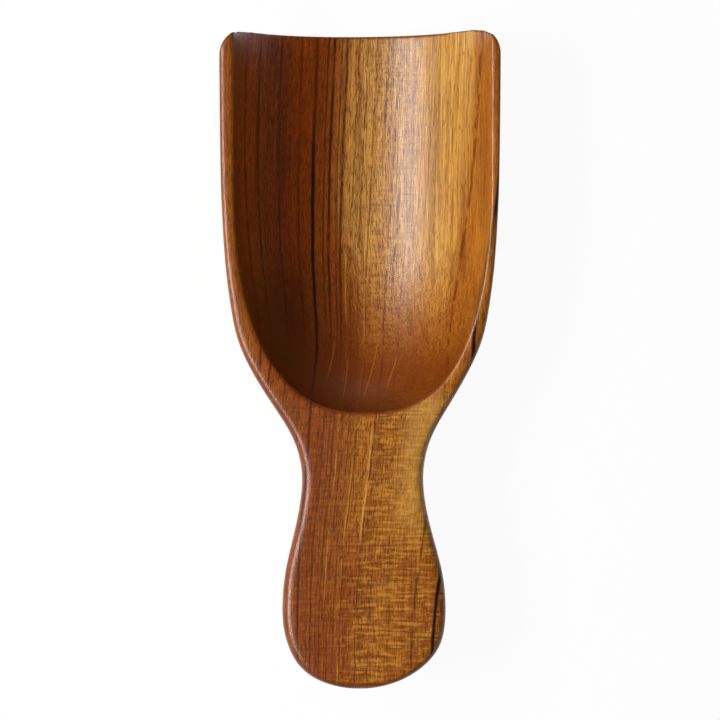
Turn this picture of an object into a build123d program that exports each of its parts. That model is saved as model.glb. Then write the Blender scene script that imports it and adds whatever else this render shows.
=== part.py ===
from build123d import *
import math
import os

os.makedirs("parts", exist_ok=True)

# A one-hand kitchen scoop, hollowed and shaped from a single block of teak.
# The open mouth looks along +Y and the short handle runs back along -Y.
# The origin is under the middle of the scoop, on the surface that it stands on.
# A name that ends in "from_lip" is a distance measured back from the mouth.

# The block
scoop_length = 230.0
rim_height = 42.0

# The outside of the bowl
bowl_width = 97.8
rim_outer_radius = 1.4
belly_depth_cut = 0.9
belly_end_before_hollow_end = 10.2
lip_rise = 3.4
lip_rise_length = 40.0
outside_overhang = 5.0

# The handle
neck_width = 41.9
neck_from_lip = 157.4
neck_lean = 0.9
lean_start_from_lip = 112.0
grip_width = 56.8
grip_from_end = 29.0
grip_lean = 1.4
end_lean = -0.2
end_lean_length = 16.0
handle_thickness = 20.5
handle_edge_radius = 3.4
handle_level_after_neck = 14.6
butt_rounding = 13.0

# The hollow of the bowl
wall_thickness = 4.3
floor_thickness = 5.6
hollow_end_before_neck = 23.2
hollow_straight_length = 48.0
hollow_overhang = 5.0
hollow_shift = 0.75
hollow_end_lean = 1.1
hollow_lean_length = 39.0
rim_inner_radius = 1.1

# The mouth
mouth_corner_width = 10.5
mouth_corner_length = 19.0
mouth_corner_clearance = 0.3
mouth_top_radius = 2.6
mouth_slant = 1.15

# How far cutters and the rough block run past the finished faces
overrun = 8.0

# Spacing of the cross-sections that the outside and the hollow pass through
station_spacing = 12.0

# Steps in which a section's curve turns a top edge, and then goes on to its lowest
# point, which lies at this share of the way under the scoop
edge_steps = 4
flank_steps = 8
bottom_share = 0.5

# Fullness of the curves: a power of 2 is an ellipse, and more is squarer
bowl_fullness = 2.0
handle_fullness = 2.45
butt_side_fullness = 2.7
butt_end_fullness = 2.0
hollow_end_fullness = 2.55

# The rounded ends stop at this share of a quarter turn, on a very small section
butt_turn_share = 0.945
hollow_turn_share = 0.972

# The flat edge radius is at most these shares of the butt's last sections
edge_width_share = 0.45
edge_height_share = 0.3

# Middle of a mouth corner's curve: shares of the corner's width and length
corner_width_share = 0.76
corner_length_share = 0.19

# Plan of the outside, as pairs: the share of the way from the lip to the neck,
# and the share of the difference between the bowl's and the neck's half widths
bowl_plan_shares = (
    (-0.030, 1.000),
    (0.118, 1.000),
    (0.383, 0.974),
    (0.559, 0.906),
    (0.647, 0.827),
    (0.691, 0.769),
    (0.735, 0.675),
    (0.779, 0.534),
    (0.868, 0.236),
    (0.912, 0.100),
    (0.956, 0.025),
    (1.000, 0.000),
)
# The same from the neck to the widest place of the grip
grip_plan_shares = (
    (0.000, 0.000),
    (0.160, 0.094),
    (0.320, 0.263),
    (0.640, 0.730),
    (0.800, 0.910),
    (1.000, 1.000),
)

bowl_half = bowl_width / 2
neck_half = neck_width / 2
grip_half = grip_width / 2
grip_from_lip = scoop_length - grip_from_end
handle_underside = rim_height - handle_thickness
handle_level_from_lip = neck_from_lip + handle_level_after_neck
hollow_width = bowl_width - 2 * wall_thickness
hollow_depth = rim_height - floor_thickness
hollow_length = neck_from_lip - hollow_end_before_neck
belly_end_from_lip = hollow_length - belly_end_before_hollow_end
mouth_y = scoop_length / 2


def blend(start, end, place):
    """Smooth share from 0 to 1 as a place goes from start to end."""
    share = min(max((place - start) / (end - start), 0), 1)
    return share * share * (3 - 2 * share)


def fair_curve(pairs, place):
    """Value at a place on the smooth curve through pairs of place and value."""
    slopes = []
    for index in range(len(pairs)):
        before = pairs[max(index - 1, 0)]
        after = pairs[min(index + 1, len(pairs) - 1)]
        slopes.append((after[1] - before[1]) / (after[0] - before[0]))
    index = 0
    while index < len(pairs) - 2 and place > pairs[index + 1][0]:
        index += 1
    near, far = pairs[index], pairs[index + 1]
    gap = far[0] - near[0]
    share = (place - near[0]) / gap
    level = near[1] + (far[1] - near[1]) * blend(0, 1, share)
    leaving = slopes[index] * gap * share * (1 - share) ** 2
    arriving = slopes[index + 1] * gap * share**2 * (share - 1)
    return level + leaving + arriving


def width_left(share, side_fullness, end_fullness):
    """Share of the full width left at a share of the way into a rounded end."""
    return (1 - share**side_fullness) ** (1 / end_fullness)


def rounding(radius, distance):
    """How far a round of this radius has fallen at a distance from its end."""
    share = max(1 - distance / radius, 0)
    return radius * (1 - math.sqrt(1 - share**2))


def even_places(start, end):
    """Places from start up to end, about the station spacing apart."""
    count = math.ceil((end - start) / station_spacing)
    return [start + (end - start) * step / count for step in range(count)]


def turn_shares(length, turn_share):
    """Shares of the way into a rounded end, closer together towards its tip."""
    quarter = math.pi / 2 * turn_share
    count = math.ceil(length * quarter / station_spacing) + 2
    return [math.sin(quarter * step / count) for step in range(count + 1)]


def plan_half_width(from_lip):
    """Half width of the outside in plan, as far as the grip's widest place."""
    if from_lip < neck_from_lip:
        share = fair_curve(bowl_plan_shares, max(from_lip, 0) / neck_from_lip)
        return neck_half + (bowl_half - neck_half) * share
    along = (from_lip - neck_from_lip) / (grip_from_lip - neck_from_lip)
    return neck_half + (grip_half - neck_half) * fair_curve(grip_plan_shares, along)


def lean(from_lip):
    """Sideways drift of the centre line, which a shaper's eye leaves in."""
    end_start = scoop_length - end_lean_length
    to_neck = neck_lean * blend(lean_start_from_lip, neck_from_lip, from_lip)
    to_grip = (grip_lean - neck_lean) * blend(neck_from_lip, grip_from_lip, from_lip)
    to_end = (end_lean - grip_lean) * blend(end_start, scoop_length, from_lip)
    return to_neck + to_grip + to_end


def underside(from_lip):
    """Height of the underside: thin lip, level belly, then up to the handle."""
    lip_share = max(1 - from_lip / lip_rise_length, 0)
    belly = lip_rise * lip_share**2 - belly_depth_cut
    rise = blend(belly_end_from_lip, handle_level_from_lip, from_lip)
    return belly + (handle_underside - belly) * rise


def outer_section(from_lip, half_width, top, bottom, edge_radius):
    """Section across the scoop: flat top, rounded edges and a round underside.

    The flanks are a half ellipse, or a squarer one, whose widest line is above
    the rim on the bowl, so that its walls lean in a little, and at the edge
    on the handle.
    """
    y = mouth_y - from_lip
    middle = lean(from_lip)
    to_handle = blend(hollow_straight_length, neck_from_lip, from_lip)
    fullness = bowl_fullness + (handle_fullness - bowl_fullness) * to_handle
    edge_height = rim_height - edge_radius
    widest_height = edge_height + outside_overhang * (1 - to_handle)
    depth = widest_height - bottom

    def width_at(drop_share):
        return (1 - drop_share**fullness) ** (1 / fullness)

    def slope_at(drop_share):
        steepness = drop_share ** (fullness - 1)
        return widest / depth * steepness / width_at(drop_share) ** (fullness - 1)

    widest = half_width / width_at((widest_height - edge_height) / depth)
    tilt = math.atan(slope_at((widest_height - top + edge_radius) / depth))
    flank_top = top - edge_radius * (1 + math.sin(tilt))
    drop_share = (widest_height - flank_top) / depth
    tilt = math.atan(slope_at(drop_share))
    flank_half = widest * width_at(drop_share)
    arc_half = flank_half - edge_radius * math.cos(tilt)

    edge_turn = math.pi / 2 + tilt
    edge_step = edge_radius * edge_turn / edge_steps
    right_half = []
    for step in range(edge_steps):
        angle = edge_turn * step / edge_steps
        out = arc_half + edge_radius * math.sin(angle)
        right_half.append((out, top - edge_radius * (1 - math.cos(angle))))

    first_angle = math.atan2(drop_share, width_at(drop_share))
    flank_length = math.pi * math.sqrt(widest * depth)
    first_share = min(edge_step / flank_length, bottom_share / flank_steps)
    for step in range(flank_steps + 1):
        wider = (bottom_share - first_share * flank_steps) * (step / flank_steps) ** 3
        angle = first_angle + (math.pi - 2 * first_angle) * (first_share * step + wider)
        across = math.cos(angle)
        down = math.sin(angle)
        reach = (abs(across) ** fullness + down**fullness) ** (-1 / fullness)
        right_half.append((widest * reach * across, widest_height - depth * reach * down))

    right_side = [(middle + out, y, height) for out, height in right_half]
    left_side = [(middle - out, y, height) for out, height in reversed(right_half[:-1])]
    round_steps = 2 * (edge_steps + flank_steps)
    turns = [step / round_steps for step in range(round_steps + 1)]
    along_top = (edge_step * round_steps, 0, 0)
    around = Edge.make_spline(
        right_side + left_side, tangents=[along_top, along_top], parameters=turns, scale=False
    )
    return Wire([Edge.make_line(left_side[-1], right_side[0]), around])


def outside():
    """The block shaped on its outside, run on past the mouth, with a closed butt."""
    sections = []
    for from_lip in even_places(-overrun, grip_from_lip):
        softer = blend(hollow_straight_length, neck_from_lip, from_lip)
        edge_radius = rim_outer_radius + (handle_edge_radius - rim_outer_radius) * softer
        half_width = plan_half_width(from_lip)
        bottom = underside(from_lip)
        sections.append(outer_section(from_lip, half_width, rim_height, bottom, edge_radius))
    for share in turn_shares(grip_from_end, butt_turn_share):
        from_lip = grip_from_lip + grip_from_end * share
        half_width = grip_half * width_left(share, butt_side_fullness, butt_end_fullness)
        to_end = scoop_length - from_lip
        top = rim_height - rounding(handle_edge_radius, to_end)
        bottom = handle_underside + rounding(butt_rounding, to_end)
        widest_edge = min(half_width * edge_width_share, (top - bottom) * edge_height_share)
        edge_radius = min(handle_edge_radius, widest_edge)
        sections.append(outer_section(from_lip, half_width, top, bottom, edge_radius))
    return Solid.make_loft(sections)


def hollow_section(from_lip, share_left):
    """Half ellipse across the hollow, from above the rim down to the floor."""
    to_end = blend(hollow_length - hollow_lean_length, hollow_length, from_lip)
    middle = hollow_shift + hollow_end_lean * to_end
    full_drop = hollow_depth + hollow_overhang
    rim_share = math.sqrt(1 - (hollow_overhang / full_drop) ** 2)
    across = Plane(
        origin=(middle, mouth_y - from_lip, rim_height + hollow_overhang),
        x_dir=(1, 0, 0),
        z_dir=(0, 1, 0),
    )
    floor = Edge.make_ellipse(
        hollow_width / 2 / rim_share * share_left,
        full_drop * share_left,
        plane=across,
        start_angle=0,
        end_angle=180,
    )
    return Wire([floor, Edge.make_line(floor @ 1, floor @ 0)])


def hollow():
    """What the gouge takes away, run on past the mouth and above the rim."""
    sections = []
    for from_lip in even_places(-overrun, hollow_straight_length):
        sections.append(hollow_section(from_lip, 1))
    curved_length = hollow_length - hollow_straight_length
    for share in turn_shares(curved_length, hollow_turn_share):
        from_lip = hollow_straight_length + curved_length * share
        share_left = width_left(share, hollow_end_fullness, hollow_end_fullness)
        sections.append(hollow_section(from_lip, share_left))
    return Solid.make_loft(sections)


def rim_edge(bowl):
    """The edge round the top of the hollow: the longest one near its end wall."""
    at_rim = bowl.edges().filter_by(
        lambda edge: edge.bounding_box().min.Z > rim_height - rim_outer_radius
        and edge.bounding_box().min.Y > mouth_y - neck_from_lip
    )
    return at_rim.sort_by(SortBy.LENGTH)[-1]


def mouth_plan():
    """Seen from above: everything behind the mouth, with its corners eased."""
    outer = bowl_half + overrun
    behind = -mouth_y - overrun
    side = bowl_half + mouth_corner_clearance
    side_y = mouth_y - mouth_corner_length
    corner_x = side - mouth_corner_width
    middle_x = corner_x + mouth_corner_width * corner_width_share
    slope = mouth_slant / bowl_width
    with BuildSketch(Plane.XY.offset(-overrun)) as plan:
        with BuildLine():
            Line(
                (-corner_x, mouth_y - corner_x * slope),
                (corner_x, mouth_y + corner_x * slope),
            )
            for hand in (-1, 1):
                corner_y = mouth_y + hand * corner_x * slope
                middle_y = corner_y - (corner_y - side_y) * corner_length_share
                Spline(
                    (hand * corner_x, corner_y),
                    (hand * middle_x, middle_y),
                    (hand * side, side_y),
                    tangents=((hand, slope), (0, -1)),
                )
                Polyline(
                    (hand * side, side_y),
                    (hand * outer, side_y),
                    (hand * outer, behind),
                )
            Line((-outer, behind), (outer, behind))
        make_face()
    return extrude(plan.sketch, rim_height + 2 * overrun)


def mouth_top_cut():
    """Seen from the side: the waste above the rounded top corner of the mouth."""
    arc_y = mouth_y - mouth_top_radius
    arc_height = rim_height - mouth_top_radius
    reach = bowl_half + overrun
    with BuildSketch(Plane.YZ.offset(-reach)) as side:
        with BuildLine():
            CenterArc((arc_y, arc_height), mouth_top_radius, 0, 90)
            Polyline(
                (arc_y, rim_height),
                (arc_y, rim_height + overrun),
                (mouth_y + overrun, rim_height + overrun),
                (mouth_y + overrun, arc_height),
                (mouth_y, arc_height),
            )
        make_face()
    turn = math.degrees(math.atan(mouth_slant / bowl_width))
    slanted = Pos(0, mouth_y, 0) * Rot(0, 0, turn) * Pos(0, -mouth_y, 0)
    return slanted * extrude(side.sketch, 2 * reach)


def scoop_body():
    """The whole scoop, which is one piece of wood."""
    body = (outside() - hollow()).solids()[0]
    body = fillet(rim_edge(body), rim_inner_radius).solids()[0]
    above_table = Box(
        2 * scoop_length,
        2 * scoop_length,
        rim_height + overrun,
        align=(Align.CENTER, Align.CENTER, Align.MIN),
    )
    body = (body & above_table).solids()[0]
    body = (body & mouth_plan()).solids()[0]
    return (body - mouth_top_cut()).solids()[0]


export_step(scoop_body(), "parts/scoop_body.step")
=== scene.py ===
import bpy
import bmesh
import math
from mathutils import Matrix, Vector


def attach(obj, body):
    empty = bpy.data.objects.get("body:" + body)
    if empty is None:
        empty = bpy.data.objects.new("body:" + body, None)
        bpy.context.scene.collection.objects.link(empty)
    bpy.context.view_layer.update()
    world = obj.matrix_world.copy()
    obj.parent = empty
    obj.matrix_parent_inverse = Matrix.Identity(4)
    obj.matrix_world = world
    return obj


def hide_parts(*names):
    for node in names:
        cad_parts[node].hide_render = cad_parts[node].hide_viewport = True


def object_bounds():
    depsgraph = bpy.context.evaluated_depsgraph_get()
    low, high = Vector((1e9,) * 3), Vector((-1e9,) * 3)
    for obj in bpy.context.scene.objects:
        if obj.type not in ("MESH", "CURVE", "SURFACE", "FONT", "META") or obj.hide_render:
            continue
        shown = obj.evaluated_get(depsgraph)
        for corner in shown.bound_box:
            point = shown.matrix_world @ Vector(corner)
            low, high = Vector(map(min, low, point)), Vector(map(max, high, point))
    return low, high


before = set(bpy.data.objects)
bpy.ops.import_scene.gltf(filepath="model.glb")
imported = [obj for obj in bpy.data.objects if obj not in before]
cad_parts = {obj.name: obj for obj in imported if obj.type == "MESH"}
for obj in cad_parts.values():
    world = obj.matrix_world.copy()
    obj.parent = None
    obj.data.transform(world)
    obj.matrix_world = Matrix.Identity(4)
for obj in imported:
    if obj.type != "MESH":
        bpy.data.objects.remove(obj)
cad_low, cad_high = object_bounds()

# The scoop is photographed from straight above with a long lens, its mouth at the
# top of the picture and its rim level with the table.
scene = bpy.context.scene
rim_height = cad_high.z
camera_above_rim = 1.1
picture_width_at_rim = 0.2495
picture_middle_y = -0.00073
nearest_seen = 0.01

camera_data = bpy.data.cameras.new("overhead_camera")
camera_data.lens = camera_data.sensor_width * camera_above_rim / picture_width_at_rim
camera_data.clip_start = nearest_seen
camera = bpy.data.objects.new("overhead_camera", camera_data)
camera.location = (0, picture_middle_y, rim_height + camera_above_rim)
scene.collection.objects.link(camera)
scene.camera = camera
scene.view_settings.view_transform = "Standard"


# The scoop itself: one block of teak, sawn, gouged and sanded. The sanding has taken
# the sharpness off the mouth's edges, so the solid is remeshed finely, laid back on
# its own surface and smoothed a little.
weld_distance = 0.00001
mesh_step = 0.00083
sanding_strength = 0.5
sanding_passes = 2

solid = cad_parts["scoop_body"]
carving = bmesh.new()
carving.from_mesh(solid.data)
bmesh.ops.remove_doubles(carving, verts=carving.verts, dist=weld_distance)
carved_mesh = bpy.data.meshes.new("carved_scoop")
carving.to_mesh(carved_mesh)
carving.free()
scoop = bpy.data.objects.new("carved_scoop", carved_mesh)
scene.collection.objects.link(scoop)

even_mesh = scoop.modifiers.new("even_mesh", "REMESH")
even_mesh.mode = "VOXEL"
even_mesh.voxel_size = mesh_step
laid_back = scoop.modifiers.new("back_on_the_solid", "SHRINKWRAP")
laid_back.target = solid
laid_back.wrap_method = "NEAREST_SURFACEPOINT"
sanding = scoop.modifiers.new("sanded_edges", "SMOOTH")
sanding.factor = sanding_strength
sanding.iterations = sanding_passes
finished = scoop.evaluated_get(bpy.context.evaluated_depsgraph_get())
sanded_mesh = bpy.data.meshes.new_from_object(finished)
sanded_mesh.name = "carved_scoop"
scoop.modifiers.clear()
scoop.data = sanded_mesh
for face in sanded_mesh.polygons:
    face.use_smooth = True
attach(scoop, "root")
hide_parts("scoop_body")


# The wood: oiled teak with its growth planes standing upright along the scoop. They
# bend to the left in the handle, two of them are nearly black, and the right of the
# handle shows ray flecks. Lengths in this section are in millimetres.
mm_in_metre = 1000
teak = bpy.data.materials.new("oiled_teak")
teak.use_nodes = True
grain = teak.node_tree
grain.nodes.clear()

red_brown = (0.260, 0.046, 0.002)
warm_brown = (0.300, 0.078, 0.004)
orange_brown = (0.400, 0.120, 0.004)
golden = (0.460, 0.145, 0.009)
honey = (0.610, 0.325, 0.070)
pale_gold = (0.650, 0.280, 0.027)
bright_gold = (0.820, 0.460, 0.110)
# painted bounce light: a bright reddish tone that lifts the bowl's shaded left wall
painted_bounce_russet = (0.620, 0.100, 0.001)
dark_red = (0.130, 0.024, 0.002)
dark_brown = (0.085, 0.018, 0.002)
almost_black = (0.010, 0.004, 0.002)
oiled_end_grain = (0.155, 0.025, 0.001)


def connect(value, socket):
    """Puts a number, a colour or another node's output on a socket."""
    if isinstance(value, bpy.types.NodeSocket):
        grain.links.new(value, socket)
    elif isinstance(value, tuple):
        socket.default_value = (*value, 1)
    else:
        socket.default_value = value


def maths(operation, *values):
    """One Math node on one, two or three values."""
    node = grain.nodes.new("ShaderNodeMath")
    node.operation = operation
    for value, socket in zip(values, node.inputs):
        connect(value, socket)
    return node.outputs[0]


def product(*values):
    """All the values multiplied."""
    result = values[0]
    for value in values[1:]:
        result = maths("MULTIPLY", result, value)
    return result


def distance_to(value, middle):
    """How far a value is from a middle, on either side."""
    return maths("ABSOLUTE", maths("SUBTRACT", value, middle))


def share_between(value, low, high, low_out=0, high_out=1, smooth=True):
    """A value between two ends as a share, eased at both ends unless told not to."""
    node = grain.nodes.new("ShaderNodeMapRange")
    node.interpolation_type = "SMOOTHSTEP" if smooth else "LINEAR"
    for number, socket in zip((value, low, high, low_out, high_out), node.inputs):
        connect(number, socket)
    return node.outputs[0]


def band(value, starts, full_from, full_to, ends):
    """1 between the two middle places, eased to 0 at the outer ones."""
    rising = share_between(value, starts, full_from)
    return product(rising, share_between(value, ends, full_to))


def between_ends(near_end, far_end, fade=3):
    """1 on a stretch along the scoop, faded over both its ends."""
    return band(along, near_end - fade, near_end + fade, far_end - fade, far_end + fade)


def tinted(share, first, second):
    """Two colours mixed by a share."""
    node = grain.nodes.new("ShaderNodeMix")
    node.data_type = "RGBA"
    connect(share, node.inputs[0])
    connect(first, node.inputs[6])
    connect(second, node.inputs[7])
    return node.outputs[2]


def stained(bare_wood, *stains):
    """The wood with one colour after another laid over it, each by its own share."""
    for share, colour in stains:
        bare_wood = tinted(share, bare_wood, colour)
    return bare_wood


def streaks(size_across, size_along, size_deep, detail=2.0, roughness=0.5, seed=0.0):
    """Noise whose spots have these sizes across, along and down through the wood."""
    stretch = grain.nodes.new("ShaderNodeCombineXYZ")
    connect(maths("DIVIDE", bent, size_across), stretch.inputs[0])
    connect(maths("DIVIDE", along, size_along), stretch.inputs[1])
    connect(maths("DIVIDE", up, size_deep), stretch.inputs[2])
    noise = grain.nodes.new("ShaderNodeTexNoise")
    noise.noise_dimensions = "4D"
    grain.links.new(stretch.outputs[0], noise.inputs["Vector"])
    noise.inputs["W"].default_value = seed
    noise.inputs["Scale"].default_value = 1.0
    noise.inputs["Detail"].default_value = detail
    noise.inputs["Roughness"].default_value = roughness
    return noise.outputs[0]


def drawn_curve(value, places, low, high):
    """A smooth curve through given pairs of place along and place across."""
    node = grain.nodes.new("ShaderNodeFloatCurve")
    first, last = places[0][0], places[-1][0]
    connect(share_between(value, first, last, smooth=False), node.inputs[1])
    curve = node.mapping.curves[0]
    while len(curve.points) < len(places):
        curve.points.new(0.5, 0.5)
    for point, (place, across_there) in zip(curve.points, places):
        point.location = ((place - first) / (last - first), (across_there - low) / (high - low))
    node.mapping.update()
    return maths("MULTIPLY_ADD", node.outputs[0], high - low, low)


def line_at(distance, half_width, level=1, core_share=0.25):
    """A thin line: full over its core and faded to nothing at its edges."""
    return share_between(distance, half_width, half_width * core_share, 0, level)


def threads(noise, half_width):
    """Thin wavy lines where a noise passes its middle value."""
    return line_at(distance_to(noise, 0.5), half_width)


def repeated(value, spacing, line_share):
    """Thin lines at even steps of a value, each a share of the step wide."""
    step_share = maths("FRACT", maths("DIVIDE", value, spacing))
    return line_at(distance_to(step_share, 0.5), line_share / 2, core_share=0.4)


def growth_tones(stops):
    """Colours along the growth share, from pairs of share and colour."""
    node = grain.nodes.new("ShaderNodeValToRGB")
    connect(share_between(growth, growth_low, growth_high, smooth=False), node.inputs[0])
    ramp = node.color_ramp
    while len(ramp.elements) < len(stops):
        ramp.elements.new(0.5)
    for element, (share, colour) in zip(ramp.elements, stops):
        element.position = (share - growth_low) / (growth_high - growth_low)
        element.color = (*colour, 1)
    return node.outputs[0]


def growth_line(share, half_width, level):
    """One thin line along the growth planes."""
    return line_at(distance_to(growth, share), half_width, level)


def growth_lines(lines):
    """Several of them, each from its share, half width and level."""
    drawn = 0
    for line in lines:
        drawn = maths("MAXIMUM", drawn, growth_line(*line))
    return drawn


coordinates = grain.nodes.new("ShaderNodeTexCoord")
in_mm = grain.nodes.new("ShaderNodeVectorMath")
in_mm.operation = "SCALE"
in_mm.inputs["Scale"].default_value = mm_in_metre
grain.links.new(coordinates.outputs["Object"], in_mm.inputs[0])
three_ways = grain.nodes.new("ShaderNodeSeparateXYZ")
grain.links.new(in_mm.outputs[0], three_ways.inputs[0])
across, along, up = three_ways.outputs

# Growth share: 0 on the black line left of the middle and 1 on the near-black line
# at the right of the rim, with both lines' routes given point by point. The planes fan out
# a little downwards, and they wander and ripple.
black_line_route = (
    (-115, -21.6),
    (-84, -21.6),
    (-63, -20.8),
    (-42, -18.8),
    (-16, -17.0),
    (3, -15.0),
    (21, -15.6),
    (40, -16.4),
    (115, -14.6),
)
right_line_route = (
    (-115, 24.4),
    (-84, 26.4),
    (-73, 28.0),
    (-2, 38.8),
    (10, 39.7),
    (20, 41.4),
    (29, 43.3),
    (38, 44.8),
    (46, 46.4),
    (56, 48.0),
    (72, 49.7),
    (115, 53.0),
)
route_low, route_high = -40, 60
fan_per_mm = 0.0009
wander_width = 1.2
ripple_width = 0.5
growth_low, growth_high = -0.7, 1.5

black_line = drawn_curve(along, black_line_route, route_low, route_high)
right_line = drawn_curve(along, right_line_route, route_low, route_high)
line_gap = maths("SUBTRACT", right_line, black_line)
bent = maths("SUBTRACT", across, black_line)
wander = maths("MULTIPLY_ADD", streaks(14, 60, 25, seed=1.7), wander_width, -wander_width / 2)
ripple = maths("MULTIPLY_ADD", streaks(3, 9, 6, seed=4.1), ripple_width, -ripple_width / 2)
depth = maths("SUBTRACT", rim_height * mm_in_metre, up)
at_rim = product(across, maths("MULTIPLY_ADD", depth, -fan_per_mm, 1))
wandered = maths("ADD", maths("ADD", at_rim, wander), ripple)
growth = maths("DIVIDE", maths("SUBTRACT", wandered, black_line), line_gap)

# The growth planes' own tones from the left side to the right
wood = growth_tones(
    (
        (-0.70, warm_brown),
        (-0.42, warm_brown),
        (-0.33, red_brown),
        (0.12, red_brown),
        (0.19, warm_brown),
        (0.25, warm_brown),
        (0.30, golden),
        (1.50, golden),
    )
)

# The open part of the bowl is the palest, and the butt's left half is the reddest. The honey
# tone starts further right towards the end wall. The bowl's shaded left wall gets painted
# bounce light in a bright reddish tone, and painted shade darkens the bowl's left below the
# rim towards the end wall.
in_bowl = share_between(along, 3, 42)
lower_bowl = share_between(along, 45, 20)
below_rim = share_between(depth, 3, 9)
at_neck = band(along, -70, -45, -18, -10)
at_butt = share_between(along, -45, -80)

# painted bounce light: the strip of the bowl's shaded left wall that gets the bright reddish
# tone
painted_bounce_band = band(growth, -0.41, -0.36, -0.20, 0.04)
honey_from = share_between(along, 60, 20, 0.06, 0.14)
honey_band = band(growth, honey_from, maths("ADD", honey_from, 0.20), 0.80, 0.88)
light_band = band(growth, 0.60, 0.72, 0.78, 0.84)
orange_band = band(growth, 0.78, 0.84, 0.88, 0.96)
# painted shade: the left of the bowl, which lies in the rim's shadow
painted_shade_left = share_between(growth, 0.30, 0.18)
neck_band = band(growth, 0.52, 0.74, 0.96, 1.02)
far_right = share_between(growth, 0.78, 0.90, 0, 0.6)
redder = maths("MAXIMUM", far_right, share_between(growth, 0.75, 0.40, 0.1, 1))
wood = stained(
    wood,
    # painted bounce light in a bright reddish tone on the bowl's shaded left wall
    (product(in_bowl, painted_bounce_band), painted_bounce_russet),
    (product(in_bowl, honey_band, 0.95), honey),
    (product(in_bowl, light_band, 0.4), bright_gold),
    (product(in_bowl, orange_band, 0.8), orange_brown),
    # painted shade: dark red deep in the bowl's left, below the rim and towards the end wall
    (product(lower_bowl, painted_shade_left, below_rim, 0.6), dark_red),
    (product(at_neck, neck_band, 0.9), pale_gold),
    (product(at_butt, redder), red_brown),
)

# Broad clouds and dark bands, then fibre streaks, then single fibres
paler_right = share_between(growth, 0.15, 0.50, 0.3, 1)
smooth_place = product(in_bowl, share_between(growth, 0.35, 0.60))
smoother = maths("MULTIPLY_ADD", smooth_place, -0.6, 1)
clouds = share_between(streaks(6, 60, 20, detail=3.0, seed=2.3), 0.38, 0.66)
dark_bands = share_between(streaks(2.2, 90, 5, seed=5.6), 0.50, 0.66)
fibres = share_between(streaks(0.9, 30, 0.9, detail=4.0, roughness=0.65, seed=3.9), 0.35, 0.65)
between_fibres = maths("SUBTRACT", 1, fibres)
fine = streaks(0.34, 3, 0.34, roughness=0.6, seed=6.4)
dark_fibres = share_between(fine, 0.48, 0.68, 0, 0.65)
pale_fibres = share_between(fine, 0.46, 0.30, 0, 0.5)
fibre_lines = threads(streaks(1.2, 18, 2, seed=15.0), 0.035)
wood = stained(
    wood,
    (product(clouds, paler_right, 0.3), pale_gold),
    (product(dark_bands, 0.4), dark_red),
    (product(between_fibres, 0.5), red_brown),
    (product(dark_fibres, smoother), dark_brown),
    (product(pale_fibres, paler_right), pale_gold),
    (product(fibre_lines, 0.4), dark_brown),
)

# Ray flecks: straight dark rungs across the grain and short ticks along it, with paler
# wood between them, on the right of the handle. They are fainter on its left and in a
# band that runs on into the bowl, and the neck shines through them.
rung_spacing = 1.6
rung_share = 0.42
rung_waver = 6
tick_spacing = 1.7
tick_share = 0.34
tick_waver = 7

on_handle = share_between(along, 0, -20)
fleck_level = share_between(growth, 0.33, 0.48, 0.2, 1)
fleck_band = product(band(growth, 0.24, 0.34, 0.50, 0.60), 0.5)
fleck_place = maths("MAXIMUM", product(on_handle, fleck_level), fleck_band)
weave_place = maths("MAXIMUM", fleck_place, product(on_handle, 0.6))
rung_waves = streaks(60, 5, 12, detail=1.0, seed=17.0)
rungs = repeated(maths("MULTIPLY_ADD", rung_waves, rung_waver, along), rung_spacing, rung_share)
rung_stretches = share_between(streaks(6, 1.2, 4, seed=18.0), 0.42, 0.52)
tick_waves = streaks(5, 30, 6, detail=1.0, seed=19.0)
ticks = repeated(maths("MULTIPLY_ADD", tick_waves, tick_waver, bent), tick_spacing, tick_share)
tick_stretches = share_between(streaks(1.6, 2.2, 3, seed=20.0), 0.47, 0.56)
weave = maths("MAXIMUM", product(rungs, rung_stretches), product(ticks, tick_stretches))
cells = streaks(6, 1.2, 2.5, roughness=0.6, seed=13.0)
wood = stained(
    wood,
    (product(share_between(cells, 0.48, 0.62), fleck_place, 0.35), warm_brown),
    (product(share_between(cells, 0.52, 0.38), fleck_place, 0.5), pale_gold),
    (product(weave, weave_place, 0.5), dark_brown),
    (product(at_neck, neck_band, 0.3), bright_gold),
)

# Dark growth lines, broken into dashes where the wood's pores stand apart. Each has a
# growth share, a half width and a level. The two near-black ones lie over the others.
left_lines = (
    (-0.358, 0.009, 0.70),
    (-0.289, 0.010, 0.80),
    (-0.180, 0.008, 0.55),
    (-0.078, 0.009, 0.50),
    (0.060, 0.008, 0.60),
    (0.090, 0.011, 0.85),
    (0.130, 0.007, 0.55),
    (0.156, 0.010, 0.75),
)
right_lines = (
    (0.215, 0.008, 0.60),
    (0.260, 0.008, 0.60),
    (0.310, 0.008, 0.60),
    (0.425, 0.009, 0.75),
    (0.520, 0.007, 0.45),
    (0.845, 0.012, 0.75),
)
dashes = share_between(streaks(1.5, 5, 3, seed=8.8), 0.38, 0.54)
joined_dashes = share_between(dashes, 0, 1, 0.6, 1)
fainter_behind = share_between(along, -25, 0, 0.9, 1)
fainter_on_rim = maths("MULTIPLY_ADD", between_ends(12, 50), -0.5, 1)
fainter_at_mouth = share_between(along, 95, 60, 0.45, 1)
line_brown = tinted(on_handle, almost_black, dark_brown)
black_line_tone = product(growth_line(0, 0.013, 0.95), fainter_at_mouth, fainter_behind)
wood = stained(
    wood,
    (product(growth_lines(right_lines), dashes), dark_brown),
    (product(growth_lines(left_lines), joined_dashes, fainter_behind), line_brown),
    (product(growth_line(1, 0.020, 1), fainter_on_rim), almost_black),
    (black_line_tone, line_brown),
)

# Three more show in a part of the bowl only: share, half width and both ends
short_lines = (
    (0.370, 0.010, 79, 114),
    (0.545, 0.009, 63, 82),
    (0.465, 0.010, 20, 61),
)
short_line_level = 0.85
for share, half_width, near_end, far_end in short_lines:
    short_line = growth_line(share, half_width, short_line_level)
    wood = tinted(product(short_line, between_ends(near_end, far_end), dashes), wood, dark_brown)

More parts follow.
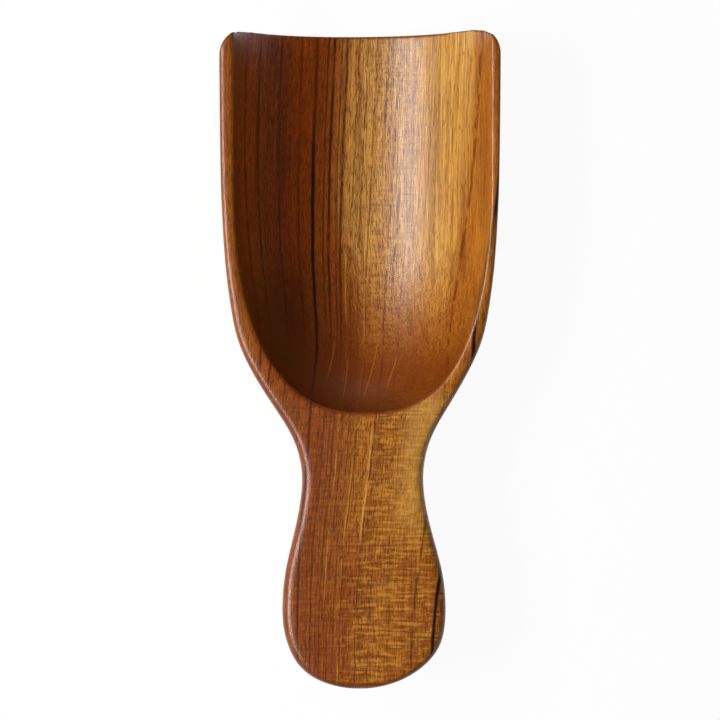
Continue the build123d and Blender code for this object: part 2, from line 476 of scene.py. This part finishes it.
# Pale lines of filled pores beside the growth lines, and a bright one on the handle
pale_lines = (
    (0.187, 0.008, 0.55),
    (0.300, 0.008, 0.45),
)
broken = share_between(streaks(2, 14, 4, seed=9.8), 0.40, 0.60)
half_broken = share_between(broken, 0, 1, 0.5, 1)
bright_line = product(growth_line(0.410, 0.011, 0.9), between_ends(-63, -24))
wood = stained(
    wood,
    (product(growth_lines(pale_lines), broken), pale_gold),
    (product(bright_line, half_broken), honey),
)

# Pores: short dark dashes along the grain, fainter at the right and in the pale bowl
pores = share_between(streaks(0.36, 2.4, 0.36, detail=1.0, seed=11.0), 0.56, 0.67)
in_open_grain = share_between(growth, 0.75, 0.50, 0.2, 0.7)
wood = tinted(product(pores, smoother, in_open_grain), wood, dark_brown)

# End grain drinks more oil and is darker, redder and duller, but the black line still
# shows on it
facing = grain.nodes.new("ShaderNodeSeparateXYZ")
grain.links.new(coordinates.outputs["Normal"], facing.inputs[0])
end_grain = share_between(maths("ABSOLUTE", facing.outputs[1]), 0.08, 0.55)
wood = stained(
    wood,
    (product(end_grain, 0.8), oiled_end_grain),
    (product(black_line_tone, 0.8), line_brown),
)

# Four pale lines curve up the hollow's end wall: each has a share where it starts, how
# much that falls for each millimetre, and where it starts and ends
end_wall_lines = (
    (0.116, 0.0022, 6, -8),
    (0.206, 0.0002, 0, -14),
    (0.389, 0.0030, 5, -14),
    (0.522, 0.0040, 1, -11),
)
end_line_half_width = 0.006
end_line_level = 0.22
on_end_wall = share_between(end_grain, 0, 0.3)
for share, fall, start, end in end_wall_lines:
    leaning = maths("MULTIPLY_ADD", along, fall, share - start * fall)
    end_line = line_at(distance_to(growth, leaning), end_line_half_width, end_line_level)
    stretch = band(along, end - 1, end + 2, start - 2, start + 1)
    wood = tinted(product(end_line, stretch, on_end_wall), wood, pale_gold)

# The dark fibres stand a hair proud of the sanded face and the flecks lie a hair under
# it, and the oil leaves a satin gloss that is dullest on the end grain
fibre_relief = 0.7
fleck_relief = -0.12
relief_strength = 0.5
relief_depth = 0.2
oil_ior = 1.45
roughness_between_fibres = 0.35
roughness_on_fibres = 0.29
end_grain_dulling = 0.05

relief = maths("MULTIPLY_ADD", fine, fibre_relief, product(weave, fleck_place, fleck_relief))
bump = grain.nodes.new("ShaderNodeBump")
bump.inputs["Strength"].default_value = relief_strength
bump.inputs["Distance"].default_value = relief_depth / mm_in_metre
grain.links.new(relief, bump.inputs["Height"])
gloss = share_between(fibres, 0, 1, roughness_between_fibres, roughness_on_fibres)
dulled_gloss = maths("MULTIPLY_ADD", end_grain, end_grain_dulling, gloss)

shader = grain.nodes.new("ShaderNodeBsdfPrincipled")
shader.inputs["IOR"].default_value = oil_ior
grain.links.new(wood, shader.inputs["Base Color"])
grain.links.new(dulled_gloss, shader.inputs["Roughness"])
grain.links.new(bump.outputs[0], shader.inputs["Normal"])
output = grain.nodes.new("ShaderNodeOutputMaterial")
grain.links.new(shader.outputs[0], output.inputs[0])
scoop.data.materials.clear()
scoop.data.materials.append(teak)


# The floor: a wide sheet of white paper. The camera sees it white, and so does the gloss
# of the wood, with a faint shadow left under the scoop.
floor_radius = 4.0
floor_sides = 96
shadow_share = 0.05
paper_white = (0.85, 0.85, 0.85)

disc = bmesh.new()
bmesh.ops.create_circle(disc, cap_ends=True, segments=floor_sides, radius=floor_radius)
floor_mesh = bpy.data.meshes.new("white_paper_floor")
disc.to_mesh(floor_mesh)
disc.free()
floor = bpy.data.objects.new("white_paper_floor", floor_mesh)
scene.collection.objects.link(floor)

paper = bpy.data.materials.new("white_paper")
paper.use_nodes = True
sheet = paper.node_tree
sheet.nodes.clear()
matt = sheet.nodes.new("ShaderNodeBsdfDiffuse")
matt.inputs["Color"].default_value = (*paper_white, 1)
white = sheet.nodes.new("ShaderNodeEmission")
rays = sheet.nodes.new("ShaderNodeLightPath")
seen = rays.outputs["Is Camera Ray"]
for other_ray in ("Is Glossy Ray", "Is Transmission Ray"):
    either = sheet.nodes.new("ShaderNodeMath")
    either.operation = "MAXIMUM"
    sheet.links.new(seen, either.inputs[0])
    sheet.links.new(rays.outputs[other_ray], either.inputs[1])
    seen = either.outputs[0]
glow = sheet.nodes.new("ShaderNodeMath")
glow.operation = "MULTIPLY"
glow.inputs[1].default_value = 1 - shadow_share
sheet.links.new(seen, glow.inputs[0])
layered = sheet.nodes.new("ShaderNodeMixShader")
sheet.links.new(glow.outputs[0], layered.inputs[0])
sheet.links.new(matt.outputs[0], layered.inputs[1])
sheet.links.new(white.outputs[0], layered.inputs[2])
surface = sheet.nodes.new("ShaderNodeOutputMaterial")
sheet.links.new(layered.outputs[0], surface.inputs[0])
floor.data.materials.append(paper)


# The light: one long softbox from the left, about 50 degrees up, along the scoop. The
# room round it is pale at the height of the table and dim overhead, and the camera
# sees it white.
softbox_distance = 1.05
softbox_from_upright = math.radians(39)
softbox_width = 0.28
softbox_length = 0.80
softbox_watts = 14.6
horizon_level = 0.45
overhead_level = 0.04
overhead_starts = 0.4
room_white = (1, 1, 1)

softbox_data = bpy.data.lights.new("left_softbox", "AREA")
softbox_data.shape = "RECTANGLE"
softbox_data.size = softbox_width
softbox_data.size_y = softbox_length
softbox_data.energy = softbox_watts
softbox = bpy.data.objects.new("left_softbox", softbox_data)
softbox_left = softbox_distance * math.sin(softbox_from_upright)
softbox_height = softbox_distance * math.cos(softbox_from_upright)
softbox.location = (-softbox_left, 0, softbox_height)
softbox.rotation_euler = (0, -softbox_from_upright, 0)
scene.collection.objects.link(softbox)

room = bpy.data.worlds.new("room")
room.use_nodes = True
air = room.node_tree
backdrop = air.nodes["Background"]
backdrop.inputs["Color"].default_value = (*room_white, 1)
direction = air.nodes.new("ShaderNodeTexCoord")
height = air.nodes.new("ShaderNodeSeparateXYZ")
air.links.new(direction.outputs["Generated"], height.inputs[0])
dimming = air.nodes.new("ShaderNodeMapRange")
dimming.interpolation_type = "SMOOTHSTEP"
dimming.inputs["From Max"].default_value = overhead_starts
dimming.inputs["To Min"].default_value = horizon_level
dimming.inputs["To Max"].default_value = overhead_level
air.links.new(height.outputs[2], dimming.inputs["Value"])
looking = air.nodes.new("ShaderNodeLightPath")
room_level = air.nodes.new("ShaderNodeMath")
room_level.operation = "MAXIMUM"
air.links.new(looking.outputs["Is Camera Ray"], room_level.inputs[0])
air.links.new(dimming.outputs[0], room_level.inputs[1])
air.links.new(room_level.outputs[0], backdrop.inputs["Strength"])
scene.world = room
